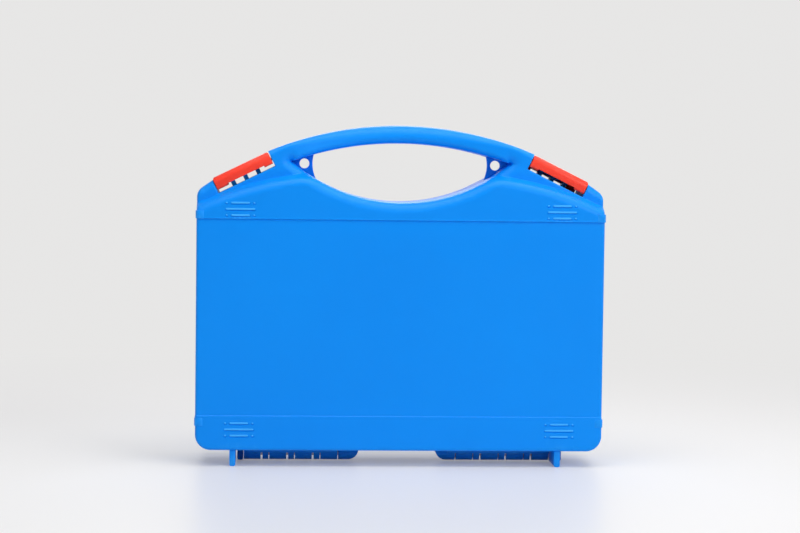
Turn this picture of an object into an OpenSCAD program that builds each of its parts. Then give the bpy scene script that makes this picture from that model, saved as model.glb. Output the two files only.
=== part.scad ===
// Hard tool case: two equal moulded halves, hinged below the floor, with a split carrying
// handle above a lens-shaped hand opening and two wrap-over latches on the shoulders.
// X runs across the front, Y from front to back with the seam at Y = 0, and Z up from the feet.

/* [Body] */
// Width across the side walls
body_w = 329.2; // [300:1:360]
// Depth of one half, from the seam to its outer face
half_depth = 38.5; // [34:0.5:46]
// Thickness of the moulded walls
wall = 2.5; // [2.2:0.1:3]
// Height of the floor of the body above the ground
body_lift = 13.1; // [12.8:0.1:15]
// Radius of the bottom corners
bottom_corner_r = 12.5; // [8:0.5:18]
// Radius where the side walls turn into the roof line
top_corner_r = 9; // [6:0.5:12]
// Lower edge of the sunken panel
panel_low = 40.8; // [36:0.1:50]
// Upper edge of the sunken panel
panel_high = 199.4; // [190:0.1:204]
// Depth that the panel is sunk by
panel_recess = 0.6; // [0.2:0.1:1]
// Height of the raised strips round the side walls
strip_h = 6.4; // [4:0.1:8]
// Drop of the lower strip below the panel
low_strip_drop = 1.6; // [1:0.1:2.5]
// Height that the strips stand proud of the side walls
strip_proud = 0.7; // [0.3:0.1:1.2]

/* [Roof and handle] */
// Height of the top of the handle
roof_top = 275.8; // [270:0.1:285]
// Radius of the roof arc that handle, latches and corners share
roof_r = 276; // [255:1:300]
// Thickness of the grip, seen from the front
grip_thick = 14.5; // [13:0.1:16]
// Half depth of the grip at its middle
grip_half_depth = 15; // [12:0.5:18]
// Wall of the hollow grip
grip_wall = 2.6; // [2:0.1:3.2]
// Flat left between the two roundings of the grip's face at its middle
grip_land = 0.3; // [0.1:0.1:3]
// Least rounding inside the hollow grip
grip_inner_round = 0.4; // [0.2:0.1:0.8]
// Rounding of the grip's edges where it meets the shoulders
grip_root_round = 3.5; // [3:0.1:5]

/* [Hand opening] */
// Lowest point of the hand opening
opening_low = 213.5; // [210:0.1:218]
// Radius of the opening's lower arc
opening_r = 138; // [132:1:146]
// Rounding of the opening's front edge
opening_round = 9; // [5:0.5:10]
// Length of the hanging web from the opening's tip
web_len = 17.1; // [14:0.1:20]
// Radius of the web's hollowed inner edge
web_edge_r = 28.5; // [22:0.5:40]
// Thickness of the web on each half
web_t = 1.6; // [1.2:0.1:2.4]
// Joint gap between the web and the arcs of the opening
web_gap = 0.03; // [0.02:0.01:0.1]
// Diameter of the padlock hole through the webs
padlock_hole_d = 8; // [6:0.1:9]
// Distance of the padlock hole from the opening's tip
padlock_hole_setback = 10.5; // [9:0.1:12]
// Rise of the padlock hole above the middle of the opening there
padlock_hole_rise = 0.6; // [-0.5:0.1:1]

/* [Shoulders] */
// Distance of the shoulder face from the seam
shoulder_depth = 27.5; // [26:0.5:30]
// Slope of the shelf below the shoulder, in degrees
shelf_slope = 15; // [13:0.5:18]
// Rise of the shelf's front edge at the side wall above the panel
shelf_edge_rise = 6.8; // [6.6:0.1:8.6]
// Rise of the shelf from its front edge to the shoulder face
shelf_rise = 8.5; // [5:0.5:10]

/* [Latches] */
// Distance of the notch's lower corner from the side wall
notch_inset = 17.2; // [15:0.1:19]
// Drop of the notch's lower corner below the roof arc
notch_drop = 11.4; // [11:0.1:12.5]
// Length of the notch
notch_len = 50.5; // [48:0.1:52]
// Angle between the notch and the roof arc above it, in degrees
notch_tilt = 2.1; // [1.5:0.1:2.5]
// Gap between latch and notch at each end
latch_gap = 0.4; // [0.3:0.05:0.8]
// Half width of the latch from front to back
latch_half_w = 27.3; // [27:0.1:27.5]
// Wall of the latch skirts
latch_wall = 2.2; // [1.8:0.1:2.4]
// Height of the latch's top above the notch floor
latch_h = 13; // [12.6:0.1:14]
// Rounding of the latch along its top
latch_round = 5; // [4:0.5:6]
// Rounding of the upper corners at the latch's ends
latch_end_round = 1.8; // [1:0.1:2.5]
// Chamfer inside the latch, below its rounded edges
latch_inside_chamfer = 1.5; // [1:0.1:2]
// Height of the space below the latch roof
latch_inside_h = 9.3; // [9.2:0.1:9.8]
// Clear height below the long cut-back of each skirt
window_h = 4; // [3.5:0.1:4.6]
// Clear height below the ends of each skirt
skirt_end_h = 2.5; // [2.3:0.1:3.2]
// Length of the deep end of the skirt at the outer corner
skirt_outer_len = 9; // [7:0.1:11]
// Length of the deep end of the skirt at the handle
skirt_inner_len = 7.5; // [6:0.1:10]
// Chamfer on the lower edge of the skirts
skirt_chamfer = 1; // [0.8:0.1:1.4]
// Thickness of the lip that snaps over the catch bar
lip_t = 1.2; // [0.8:0.1:1.4]
// Distance of the latch pivot from the seam
pivot_depth = 22; // [21.6:0.1:22.2]
// Height of the latch pivot above the notch floor
pivot_h = 6.3; // [6.2:0.1:6.5]
// Diameter of the latch pins
latch_pin_d = 3; // [2.6:0.1:3.2]
// Depth of the latch pin's seats in the notch's end walls
pin_seat = 2; // [1.6:0.1:2.1]
// Half width of the latch's cheek blocks round the pin
cheek_r = 2.6; // [2.4:0.05:2.65]
// Width of each rib in the notch
rib_w = 3.5; // [3:0.1:4.5]
// Spacing of the ribs
rib_pitch = 11; // [10:0.1:12.5]
// Height of the ribs above the notch floor
rib_h = 7.4; // [7:0.1:8]
// Setback of the ribs from the seam
rib_setback = 1.5; // [1:0.1:3]
// Depth of the catch bar from the seam
catch_depth = 14; // [12:0.1:16]
// Length of the catch bar beyond the outer ribs
bar_overhang = 2; // [1:0.5:3]
// Thickness of the latch's end cheeks
cheek_w = 3; // [2.5:0.1:4]
// Gap between the ends of a latch pin and the ends of its latch
pin_end_gap = 0.3; // [0.1:0.1:0.8]

/* [Hinge] */
// Height of the hinge axis
hinge_z = 6.2; // [6.1:0.05:6.3]
// Radius of the knuckles
knuckle_r = 5.4; // [5:0.05:5.6]
// Diameter of the hinge pins
hinge_pin_d = 4; // [3:0.1:4.5]
// Radial clearance of every pin in its bore
pin_clearance = 0.05; // [0.02:0.01:0.1]
// Gap between a hinge's outer end and the inner foot
hinge_end_gap = 0.6; // [0.4:0.1:2]
// Length of the inner end knuckle
end_knuckle_len = 16.6; // [14:0.1:20]
// Rounding of the inner end knuckle, seen from the front
end_knuckle_round = 10; // [6:0.5:12]
// Length of the wide knuckles
wide_knuckle_len = 13.8; // [12:0.1:14.2]
// Length of the narrow knuckles
narrow_knuckle_len = 4.8; // [4:0.1:5.2]
// Gap on the inner side of each wide or narrow knuckle
knuckle_gap = 0.8; // [0.5:0.1:1]
// Wider gap outside each narrow knuckle
knuckle_wide_gap = 1.6; // [1:0.1:1.8]
// Number of wide knuckles in a hinge
wide_count = 4; // [3:1:4]
// Distance of the hinge flange from the seam
flange_depth = 6.5; // [6.3:0.1:8]
// Thickness of the hinge flange
flange_t = 1.6; // [1.2:0.1:2.2]
// Height of the flange's lower edge above the hinge axis
flange_rise = 1; // [0.5:0.1:2]
// Depth that a hinge pin reaches into the end knuckle
pin_hold = 6; // [4:0.5:10]

/* [Feet and trim] */
// Thickness of a foot
foot_w = 4.8; // [4:0.1:4.9]
// Distance of the inner feet from the side wall
foot_inset = 38.3; // [30:0.1:42]
// Gap between neighbouring feet when the case lies open
foot_gap = 1; // [0.6:0.1:1.2]
// Setback of a foot's end from the outer face
foot_setback = 2.5; // [1:0.5:6]
// Rounding of the lower edges of a foot
foot_round = 1.5; // [0.5:0.1:2]
// Distance of the trim ribs' middle from the side wall
trim_inset = 35.1; // [30:0.1:40]
// Length of the middle trim rib
trim_len = 23.6; // [18:0.1:26]
// Length of the short trim ribs
trim_short_len = 15; // [12:0.1:16]
// Spacing of the trim ribs
trim_pitch = 5; // [4:0.1:5.5]
// Width of the trim ribs
trim_w = 1.3; // [0.8:0.1:1.8]
// Height that the trim ribs stand proud
trim_proud = 0.35; // [0.2:0.05:0.6]
// Rise of the upper trim groups' middle above the panel
trim_high_rise = 7.9; // [6.6:0.1:8.6]
// Drop of the lower trim groups' middle below the panel
trim_low_drop = 10.7; // [9:0.1:13]

/* [Seam] */
// Thickness of the sealing tongue
tongue_t = 0.8; // [0.6:0.1:1]
// Height of the sealing tongue
tongue_h = 1.2; // [0.8:0.1:1.6]
// Clearance round the tongue in its groove
tongue_clearance = 0.3; // [0.2:0.05:0.4]

/* [Hidden] */
$fn = 96;
arc_fn = 480;                                // facets of the long arcs
grip_stations = 32;                          // sections along the grip
grip_steps = 6;                              // facets in each rounding of the grip

blue = [0.08, 0.54, 0.97];
red = [0.98, 0.35, 0.27];
steel = [0.72, 0.74, 0.76];

past = 5;                                    // how far a cutter runs past what it cuts
half_w = body_w / 2;
roof_cz = roof_top - roof_r;                 // centre height of the roof arc
grip_r = roof_r - grip_thick;                // radius of the grip's underside
opening_cz = opening_low + opening_r;        // centre height of the opening's lower arc

// the opening is a lens: its tips lie where its two arcs cross
arc_rise = opening_cz - roof_cz;
tip_z = opening_cz - (arc_rise * arc_rise + opening_r * opening_r - grip_r * grip_r) / (2 * arc_rise);
tip_x = sqrt(opening_r * opening_r - (opening_cz - tip_z) * (opening_cz - tip_z));
tip_angle = atan2(tip_x, tip_z - roof_cz);   // half angle that the grip spans on the roof arc

// the padlock hole lies between the two arcs of the opening, near its tip
web_edge_x = tip_x - web_len;
padlock_hole_x = tip_x - padlock_hole_setback;
grip_z_there = roof_cz + sqrt(grip_r * grip_r - padlock_hole_x * padlock_hole_x);
floor_z_there = opening_cz - sqrt(opening_r * opening_r - padlock_hole_x * padlock_hole_x);
padlock_hole_z = (grip_z_there + floor_z_there) / 2 + padlock_hole_rise;

// the notch follows the side wall and the roof arc
notch_x = half_w - notch_inset;
notch_r = roof_r - notch_drop;
notch_z = roof_cz + sqrt(notch_r * notch_r - notch_x * notch_x);
notch_slope = asin(notch_x / notch_r) - asin(notch_len / 2 / notch_r) - notch_tilt;

latch_pin_bore_r = latch_pin_d / 2 + pin_clearance;
catch_bar_r = latch_pin_d / 2;
latch_core = latch_half_w - latch_round;     // where the latch's rounded edges are centred
lip_start = latch_half_w - latch_wall / 2;   // the lip grows out of the middle of the skirt
lip_reach = lip_start - catch_depth - catch_bar_r - latch_gap;
hinge_pin_bore_r = hinge_pin_d / 2 + pin_clearance;

inner_foot_x = half_w - foot_inset;
outer_foot_x = inner_foot_x + foot_w + foot_gap;
hinge_end_x = inner_foot_x - hinge_end_gap;
knuckle_pitch = wide_knuckle_len + knuckle_gap + narrow_knuckle_len + knuckle_wide_gap;
wide_start_x = hinge_end_x - wide_knuckle_len - (wide_count - 1) * knuckle_pitch;
hinge_start_x = wide_start_x - knuckle_gap - end_knuckle_len;
hinge_pin_start_x = hinge_start_x + end_knuckle_len - pin_hold;
trim_x = half_w - trim_inset;
trim_dot_x = (trim_len - trim_w) / 2;

// ---------- frames and helpers ----------

// Stands a flat X-Z drawing up as a slab between two depths
module slab(y_front, y_back)
    translate([0, y_back, 0]) rotate([90, 0, 0])
        linear_extrude(y_back - y_front) children();

// Runs a flat Y-V drawing along the left notch: U climbs the slope, V is square to it
module along_notch(u_start, u_end)
    translate([-notch_x, 0, notch_z]) rotate([0, -notch_slope, 0]) rotate([90, 0, 90])
        translate([0, 0, u_start]) linear_extrude(u_end - u_start) children();

// Runs a flat Y-Z drawing along the hinge axis
module along_hinge(x_start, x_end)
    translate([x_start, 0, 0]) rotate([90, 0, 90]) linear_extrude(x_end - x_start) children();

// The rear half is the front half turned round
module as_rear() rotate([0, 0, 180]) children();

// A waste corner outside a round of radius r, centred where the drawing's origin is
module corner_waste(r)
    difference() {
        square(r + past);
        circle(r);
    }

// ---------- outlines in the X-Z plane ----------

// Side walls, floor and roof arc, moved in by inset
module case_outline(inset = 0) {
    hw = half_w - inset;
    floor_z = body_lift + inset;
    rr = roof_r - inset;
    rb = bottom_corner_r - inset;
    rt = top_corner_r - inset;
    top_cx = hw - rt;
    top_cz = roof_cz + sqrt((rr - rt) * (rr - rt) - top_cx * top_cx);
    reach = (rr + 2 * past) / (rr - rt);
    difference() {
        intersection() {
            translate([-hw, floor_z]) square([2 * hw, roof_top]);
            translate([0, roof_cz]) circle(rr, $fn = arc_fn);
        }
        for (side = [0, 1]) mirror([side, 0]) {
            translate([hw - rb, floor_z + rb]) mirror([0, 1]) corner_waste(rb);
            difference() {
                polygon([
                    [top_cx, top_cz],
                    [hw + past, top_cz],
                    [hw + past, roof_cz + (top_cz - roof_cz) * reach],
                    [top_cx * reach, roof_cz + (top_cz - roof_cz) * reach]]);
                translate([top_cx, top_cz]) circle(rt);
            }
        }
    }
}

// The lens of the hand opening, widened by grow
module hand_opening(grow = 0)
    intersection() {
        translate([0, roof_cz]) circle(grip_r + grow, $fn = arc_fn);
        translate([0, opening_cz]) circle(opening_r + grow, $fn = arc_fn);
    }

// All that the shell leaves to the handle and the hand opening, widened by grow
module handle_zone(grow = 0) {
    a = tip_angle + atan2(grow, grip_r);
    far = roof_r + 4 * past;
    intersection() {
        translate([0, opening_cz]) circle(opening_r + grow, $fn = arc_fn);
        translate([0, roof_cz]) polygon([
            [0, 0],
            [far * sin(a), far * cos(a)],
            [-far * sin(a), far * cos(a)]]);
    }
}

// The notch that a latch lies in, widened by grow
module notch(grow = 0)
    translate([-notch_x, notch_z]) rotate(notch_slope)
        translate([-grow, -grow]) square([notch_len + 2 * grow, 6 * past]);

// The whole seam outline of a half, moved in by inset
module seam_outline(inset = 0)
    difference() {
        case_outline(inset);
        for (side = [0, 1]) mirror([side, 0]) notch(inset);
        handle_zone(inset);
    }

// ---------- the front half's own pieces ----------

// What the sloping shelf and the set-back shoulder take off the front
module shelf_waste(inset) {
    slope = shelf_rise / (half_depth - shoulder_depth);
    drop = inset * sqrt(1 + slope * slope);
    y_front = -half_depth - past;
    y_back = -(shoulder_depth - inset);
    translate([-half_w, 0, panel_high + shelf_edge_rise]) rotate([0, -shelf_slope, 0]) rotate([90, 0, 90])
        translate([0, 0, -half_w]) linear_extrude(3 * half_w)
            polygon([
                [y_front, -slope * past - drop],
                [y_back, slope * (y_back + half_depth) - drop],
                [y_back, half_w],
                [y_front, half_w]]);
}

// What the rounded front edge of the hand opening takes off
module opening_edge_waste(inset) {
    centre_r = opening_r + opening_round;
    centre_y = half_depth - opening_round;
    translate([0, 0, opening_cz]) rotate([90, 0, 0]) rotate_extrude($fn = arc_fn)
        difference() {
            translate([opening_r - past, centre_y]) square([opening_round + past, opening_round + past]);
            translate([centre_r, centre_y]) circle(opening_round - inset);
        }
}

// The solid form of a half, moved in by inset; open forms run past the seam
module half_form(inset = 0, open_by = 0)
    difference() {
        slab(-(half_depth - inset), open_by) seam_outline(inset);
        for (side = [0, 1]) mirror([side, 0, 0]) shelf_waste(inset);
        opening_edge_waste(inset);
    }

// A strip round the side wall, above z
module side_strip(z)
    slab(-half_depth, 0)
        translate([half_w - wall / 2, z]) square([wall / 2 + strip_proud, strip_h]);

// One group of trim ribs on the outer face
module trim_ribs(x, z)
    slab(-half_depth - trim_proud, -half_depth + wall / 2) translate([x, z]) {
        translate([-trim_len / 2, -trim_w / 2]) square([trim_len, trim_w]);
        for (row = [-1, 1]) {
            translate([-trim_short_len / 2, row * trim_pitch - trim_w / 2]) square([trim_short_len, trim_w]);
            for (end = [-1, 1]) translate([end * trim_dot_x, row * trim_pitch]) circle(trim_w / 2);
        }
    }

// The ring that the tongue fills, widened by grow
module tongue_ring(grow = 0) {
    mid = wall / 2;
    difference() {
        seam_outline(mid - tongue_t / 2 - grow);
        seam_outline(mid + tongue_t / 2 + grow);
    }
}

// Tray, shoulders and seam edge of one half, in one piece
module half_shell() {
    difference() {
        union() {
            half_form();
            for (side = [0, 1]) mirror([side, 0, 0]) {
                side_strip(panel_high);
                side_strip(panel_low - strip_h - low_strip_drop);
                trim_ribs(trim_x, panel_high + trim_high_rise);
                trim_ribs(trim_x, panel_low - trim_low_drop);
            }
        }
        half_form(wall, past);
        slab(-half_depth - past, -half_depth + panel_recess)
            translate([-half_w - past, panel_low]) square([body_w + 2 * past, panel_high - panel_low]);
        slab(-tongue_h - tongue_clearance, past) intersection() {
            tongue_ring(tongue_clearance);
            square([body_w, roof_top]);
        }
        as_rear() along_notch(-pin_seat, notch_len + pin_seat)
            translate([pivot_depth, pivot_h]) circle(latch_pin_bore_r);
    }
    slab(-wall, tongue_h) intersection() {
        tongue_ring();
        translate([-body_w - tongue_h, 0]) square([body_w, roof_top]);
    }
}

// The tray of a half, up to the panel's upper edge
module tray()
    intersection() {
        half_shell();
        translate([-body_w, -body_w, 0]) cube([2 * body_w, 2 * body_w, panel_high]);
    }

// The left shoulder of a half, from the panel's upper edge to the roof
module left_shoulder()
    intersection() {
        half_shell();
        translate([-body_w, -body_w, panel_high]) cube([body_w, 2 * body_w, roof_top]);
    }

// The right shoulder of a half
module right_shoulder()
    intersection() {
        half_shell();
        translate([0, -body_w, panel_high]) cube([body_w, 2 * body_w, roof_top]);
    }

// Grip half depth at an angle along the roof arc
function grip_depth(a) = let(t = abs(a) / tip_angle)
    grip_half_depth + (shoulder_depth - grip_half_depth) * t * t;
// Rounding of the grip's edge at an angle along the roof arc
function grip_round(a) = let(t = abs(a) / tip_angle)
    (grip_thick - grip_land) / 2 * (1 - t * t) + grip_root_round * t * t;

// One U-shaped wall section as [radius, depth] pairs, inset from the grip's outside
function grip_skin(a, inset) = let(
        r = max(grip_round(a) - inset, grip_inner_round),
        d = grip_depth(a) - inset,
        outer = roof_r - inset,
        inner = grip_r + inset)
    concat([[outer, 0]],
        [for (i = [0 : grip_steps]) let(b = 90 * i / grip_steps) [outer - r + r * cos(b), d - r + r * sin(b)]],
        [for (i = [0 : grip_steps]) let(b = 90 * i / grip_steps) [inner + r - r * sin(b), d - r + r * cos(b)]],
        [[inner, 0]]);
function reversed(list) = [for (i = [len(list) - 1 : -1 : 0]) list[i]];
function grip_section(a) = concat(grip_skin(a, 0), reversed(grip_skin(a, grip_wall)));

// Half of the split grip, a hollow channel that widens towards the shoulders
module half_handle() {
    count = len(grip_section(0));
    points = [for (s = [0 : grip_stations]) let(a = tip_angle * (2 * s / grip_stations - 1))
        for (p = grip_section(a)) [p[0] * sin(a), -p[1], roof_cz + p[0] * cos(a)]];
    sides = [for (s = [0 : grip_stations - 1]) for (i = [0 : count - 1])
        let(j = (i + 1) % count, here = s * count, next = here + count)
            each [[here + i, here + j, next + j], [here + i, next + j, next + i]]];
    start = [for (i = [count - 1 : -1 : 0]) i];
    finish = [for (i = [0 : count - 1]) grip_stations * count + i];
    polyhedron(points, concat([start], sides, [finish]));
}

// Thin web in the left tip of the opening, with the padlock hole
module left_web()
    difference() {
        slab(-web_t, 0) difference() {
            intersection() {
                hand_opening(-web_gap);
                translate([-half_w, 0]) square([half_w - web_edge_x + web_edge_r, roof_top]);
            }
            translate([-web_edge_x + web_edge_r, padlock_hole_z]) circle(web_edge_r);
        }
        translate([-padlock_hole_x, past, padlock_hole_z]) rotate([90, 0, 0])
            cylinder(h = 2 * past, d = padlock_hole_d);
    }

// One foot fin, from the seam to near the outer face
module foot(x_start)
    translate([x_start, 0, 0])
        slab(-half_depth + foot_setback, -foot_gap / 2) difference() {
            square([foot_w, body_lift]);
            for (side = [0, 1]) translate([side * foot_w, 0]) mirror([side, 0])
                translate([foot_round, foot_round]) rotate(180) corner_waste(foot_round);
        }

// ---------- hinge ----------

// Side view of a knuckle and the arm that carries it
module knuckle_profile() {
    translate([0, hinge_z]) circle(knuckle_r);
    translate([-flange_depth, hinge_z]) square([flange_depth - foot_gap / 2, body_lift - hinge_z]);
}

module knuckle(x_start, length) along_hinge(x_start, x_start + length) knuckle_profile();

// Flange behind the gaps of a hinge, seen from outside the case
module hinge_flange(x_start, x_end)
    along_hinge(x_start, x_end)
        translate([-flange_depth - flange_t, hinge_z + flange_rise])
            square([flange_t, body_lift - hinge_z - flange_rise]);

module pin_bore(x_start, x_end)
    translate([x_start, 0, hinge_z]) rotate([0, 90, 0]) cylinder(h = x_end - x_start, r = hinge_pin_bore_r);

// Wide knuckles, on the right-hand side of the middle
module wide_knuckles()
    difference() {
        union() {
            for (i = [0 : wide_count - 1]) knuckle(wide_start_x + i * knuckle_pitch, wide_knuckle_len);
            hinge_flange(wide_start_x, hinge_end_x);
        }
        pin_bore(wide_start_x - past, hinge_end_x + past);
    }

// Narrow knuckles and the closed, rounded end knuckle, on the right-hand side of the middle
module narrow_knuckles()
    difference() {
        union() {
            intersection() {
                knuckle(hinge_start_x, end_knuckle_len);
                slab(-half_depth, half_depth) difference() {
                    translate([hinge_start_x, 0]) square([end_knuckle_len, body_lift]);
                    translate([hinge_start_x, hinge_z - knuckle_r])
                        translate([end_knuckle_round, end_knuckle_round])
                            rotate(180) corner_waste(end_knuckle_round);
                }
            }
            for (i = [0 : wide_count - 2])
                knuckle(wide_start_x + wide_knuckle_len + knuckle_gap + i * knuckle_pitch, narrow_knuckle_len);
            hinge_flange(hinge_start_x + end_knuckle_round, hinge_end_x);
        }
        pin_bore(hinge_pin_start_x - knuckle_gap, hinge_end_x + past);
    }

module hinge_pin()
    translate([hinge_pin_start_x, 0, hinge_z]) rotate([0, 90, 0])
        cylinder(h = hinge_end_x - hinge_pin_start_x - knuckle_gap, d = hinge_pin_d);

// ---------- left notch and latch; the pivot lies behind the seam, the catch before it ----------

// Ribs on the front half, with the bar that the latch snaps over
module catch_ribs() {
    bar_end = rib_pitch + rib_w / 2 + bar_overhang;
    for (i = [-1 : 1]) {
        u = notch_len / 2 + i * rib_pitch;
        along_notch(u - rib_w / 2, u + rib_w / 2)
            translate([-catch_depth, 0]) square([catch_depth - rib_setback, rib_h]);
    }
    along_notch(notch_len / 2 - bar_end, notch_len / 2 + bar_end)
        translate([-catch_depth, pivot_h]) circle(catch_bar_r);
}

// Side view of the latch's outside, a bar with rounded upper edges
module latch_outside() {
    round_v = latch_h - latch_round;
    translate([-latch_half_w, skirt_end_h]) square([2 * latch_half_w, round_v - skirt_end_h]);
    translate([-latch_core, skirt_end_h]) square([2 * latch_core, latch_h - skirt_end_h]);
    for (side = [-1, 1]) translate([side * latch_core, round_v]) circle(latch_round);
}

// Side view of the space inside the latch
module latch_inside() {
    inner = latch_half_w - latch_wall;
    polygon([
        [-inner, 0],
        [inner, 0],
        [inner, latch_inside_h - latch_inside_chamfer],
        [inner - latch_inside_chamfer, latch_inside_h],
        [-inner + latch_inside_chamfer, latch_inside_h],
        [-inner, latch_inside_h - latch_inside_chamfer]]);
}

// Side view of the latch without its ends
module latch_profile()
    difference() {
        latch_outside();
        latch_inside();
        for (side = [0, 1]) mirror([side, 0])
            polygon([
                [latch_half_w - skirt_chamfer, skirt_end_h],
                [latch_half_w, skirt_end_h + skirt_chamfer],
                [latch_half_w + past, skirt_end_h + skirt_chamfer],
                [latch_half_w + past, 0],
                [latch_half_w - skirt_chamfer, 0]]);
    }

// Front view of the latch, a bar with its upper corners rounded
module latch_front_view() {
    corner_v = latch_h - latch_end_round;
    translate([latch_gap, 0]) square([notch_len - 2 * latch_gap, corner_v]);
    translate([latch_gap + latch_end_round, 0]) square([notch_len - 2 * (latch_gap + latch_end_round), latch_h]);
    for (u = [latch_gap + latch_end_round, notch_len - latch_gap - latch_end_round])
        translate([u, corner_v]) circle(latch_end_round);
}

module left_latch_solid()
    difference() {
        intersection() {
            union() {
                along_notch(latch_gap, notch_len - latch_gap) latch_profile();
                for (u = [latch_gap, notch_len - latch_gap - cheek_w])
                    along_notch(u, u + cheek_w) translate([pivot_depth - cheek_r, pivot_h - cheek_r])
                        square([lip_start - pivot_depth + cheek_r,
                            latch_inside_h - pivot_h + cheek_r + skirt_chamfer]);
                along_notch(latch_gap + skirt_outer_len, notch_len - latch_gap - skirt_inner_len)
                    translate([-lip_start, window_h]) square([lip_reach, lip_t]);
            }
            slab(-half_depth, half_depth)
                translate([-notch_x, notch_z]) rotate(notch_slope) latch_front_view();
        }
        along_notch(latch_gap + skirt_outer_len, notch_len - latch_gap - skirt_inner_len)
            translate([-half_depth, 0]) square([2 * half_depth, window_h]);
        along_notch(-past, notch_len + past) translate([pivot_depth, pivot_h]) circle(latch_pin_bore_r);
    }

module latch_pin_solid()
    along_notch(-pin_seat + pin_end_gap, notch_len + pin_seat - pin_end_gap)
        translate([pivot_depth, pivot_h]) circle(latch_pin_d / 2);

// ---------- sub-parts ----------

module front_shell() color(blue) tray();
module rear_shell() color(blue) as_rear() tray();
module front_left_shoulder() color(blue) left_shoulder();
module front_right_shoulder() color(blue) right_shoulder();
module rear_right_shoulder() color(blue) as_rear() left_shoulder();
module rear_left_shoulder() color(blue) as_rear() right_shoulder();
module front_handle() color(blue) half_handle();
module rear_handle() color(blue) as_rear() half_handle();

module front_left_web() color(blue) left_web();
module front_right_web() color(blue) mirror([1, 0, 0]) left_web();
module rear_right_web() color(blue) as_rear() left_web();
module rear_left_web() color(blue) as_rear() mirror([1, 0, 0]) left_web();

module front_left_foot() color(blue) foot(-outer_foot_x - foot_w);
module front_right_foot() color(blue) foot(inner_foot_x);
module rear_right_foot() color(blue) as_rear() foot(-outer_foot_x - foot_w);
module rear_left_foot() color(blue) as_rear() foot(inner_foot_x);

module front_left_knuckles() color(blue) mirror([1, 0, 0]) wide_knuckles();
module front_right_knuckles() color(blue) narrow_knuckles();
module rear_right_knuckles() color(blue) as_rear() mirror([1, 0, 0]) wide_knuckles();
module rear_left_knuckles() color(blue) as_rear() narrow_knuckles();
module left_hinge_pin() color(steel) as_rear() hinge_pin();
module right_hinge_pin() color(steel) hinge_pin();

module left_catch_ribs() color(blue) catch_ribs();
module right_catch_ribs() color(blue) as_rear() catch_ribs();
module left_latch() color(red) left_latch_solid();
module right_latch() color(red) as_rear() left_latch_solid();
module left_latch_pin() color(steel) latch_pin_solid();
module right_latch_pin() color(steel) as_rear() latch_pin_solid();

rear_shell();
front_shell();
rear_left_shoulder();
rear_right_shoulder();
front_left_shoulder();
front_right_shoulder();
rear_handle();
front_handle();
rear_left_web();
rear_right_web();
front_left_web();
front_right_web();
rear_left_foot();
rear_right_foot();
front_left_foot();
front_right_foot();
rear_left_knuckles();
rear_right_knuckles();
front_left_knuckles();
front_right_knuckles();
left_hinge_pin();
right_hinge_pin();
left_catch_ribs();
right_catch_ribs();
left_latch();
right_latch();
left_latch_pin();
right_latch_pin();
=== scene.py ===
"""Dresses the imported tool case: moulded halves, latches, hinge and a plain pale studio."""
import logging
import math
from dataclasses import dataclass
from enum import Enum

import bpy
import numpy as np
from mathutils import Matrix, Vector
from mathutils.geometry import delaunay_2d_cdt


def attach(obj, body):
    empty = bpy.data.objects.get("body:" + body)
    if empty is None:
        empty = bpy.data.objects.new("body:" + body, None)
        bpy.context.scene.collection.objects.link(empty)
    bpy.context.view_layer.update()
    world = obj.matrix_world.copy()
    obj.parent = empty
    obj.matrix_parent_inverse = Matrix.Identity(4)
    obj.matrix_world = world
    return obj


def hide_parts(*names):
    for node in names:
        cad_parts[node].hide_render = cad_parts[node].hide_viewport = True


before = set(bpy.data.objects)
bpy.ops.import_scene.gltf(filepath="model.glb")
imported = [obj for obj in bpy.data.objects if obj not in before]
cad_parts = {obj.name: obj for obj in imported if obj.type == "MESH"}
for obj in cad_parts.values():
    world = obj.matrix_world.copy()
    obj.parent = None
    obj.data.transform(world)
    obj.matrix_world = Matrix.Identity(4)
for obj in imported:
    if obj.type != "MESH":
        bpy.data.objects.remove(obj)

Socket, Piece, Material = bpy.types.NodeSocket, bpy.types.Object, bpy.types.Material
Array = np.ndarray
LOG = logging.getLogger("tool_case")
MM = 0.001
HALF_WIDTH = 164.6
HALF_DEPTH = 38.5
PANEL_TOP = 199.4
# name of the vertex attribute that carries the painted highlight on the rib tops
RIB_HIGHLIGHT_ATTRIBUTE = "wear_and_highlight"
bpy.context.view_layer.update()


class Half(Enum):
    """The two halves of the case; the rear one is the front one turned half a turn."""

    FRONT = "front"
    REAR = "rear"

    @property
    def body(self) -> str:
        """Name of the CAD body that the half's pieces ride on."""
        return f"{self.value}_half"


class Side(Enum):
    """Left and right of the case, seen from the front."""

    LEFT = "left"
    RIGHT = "right"


# helpers

def pick(obj: Piece) -> None:
    """Make one object the only selected and the active one.

    Args:
        obj: The object.
    """
    bpy.ops.object.select_all(action="DESELECT")
    obj.select_set(True)
    bpy.context.view_layer.objects.active = obj


def link(obj: Piece) -> Piece:
    """Put a new object into the scene and hand it back."""
    bpy.context.scene.collection.objects.link(obj)
    return obj


def edit_all(obj: Piece) -> None:
    """Enter edit mode on one object with its whole mesh selected.

    Args:
        obj: The object to edit.
    """
    pick(obj)
    bpy.ops.object.mode_set(mode="EDIT")
    bpy.ops.mesh.select_all(action="SELECT")


def unit(rows: Array) -> Array:
    """Rows of the same directions, each of length 1."""
    return rows / np.linalg.norm(rows, axis=1)[:, None]


def mesh_object(name: str, points: Array, faces: list) -> Piece:
    """Make an object from points in millimetres and lists of corners.

    Args:
        name: Name of the new object.
        points: One row of x, y and z for each point, in millimetres.
        faces: Corner numbers of each face, counter-clockwise from outside.

    Returns:
        The new object.
    """
    mesh = bpy.data.meshes.new(name)
    mesh.from_pydata((np.asarray(points) * MM).tolist(), [], faces)
    mesh.update()
    return link(bpy.data.objects.new(name, mesh))


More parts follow.
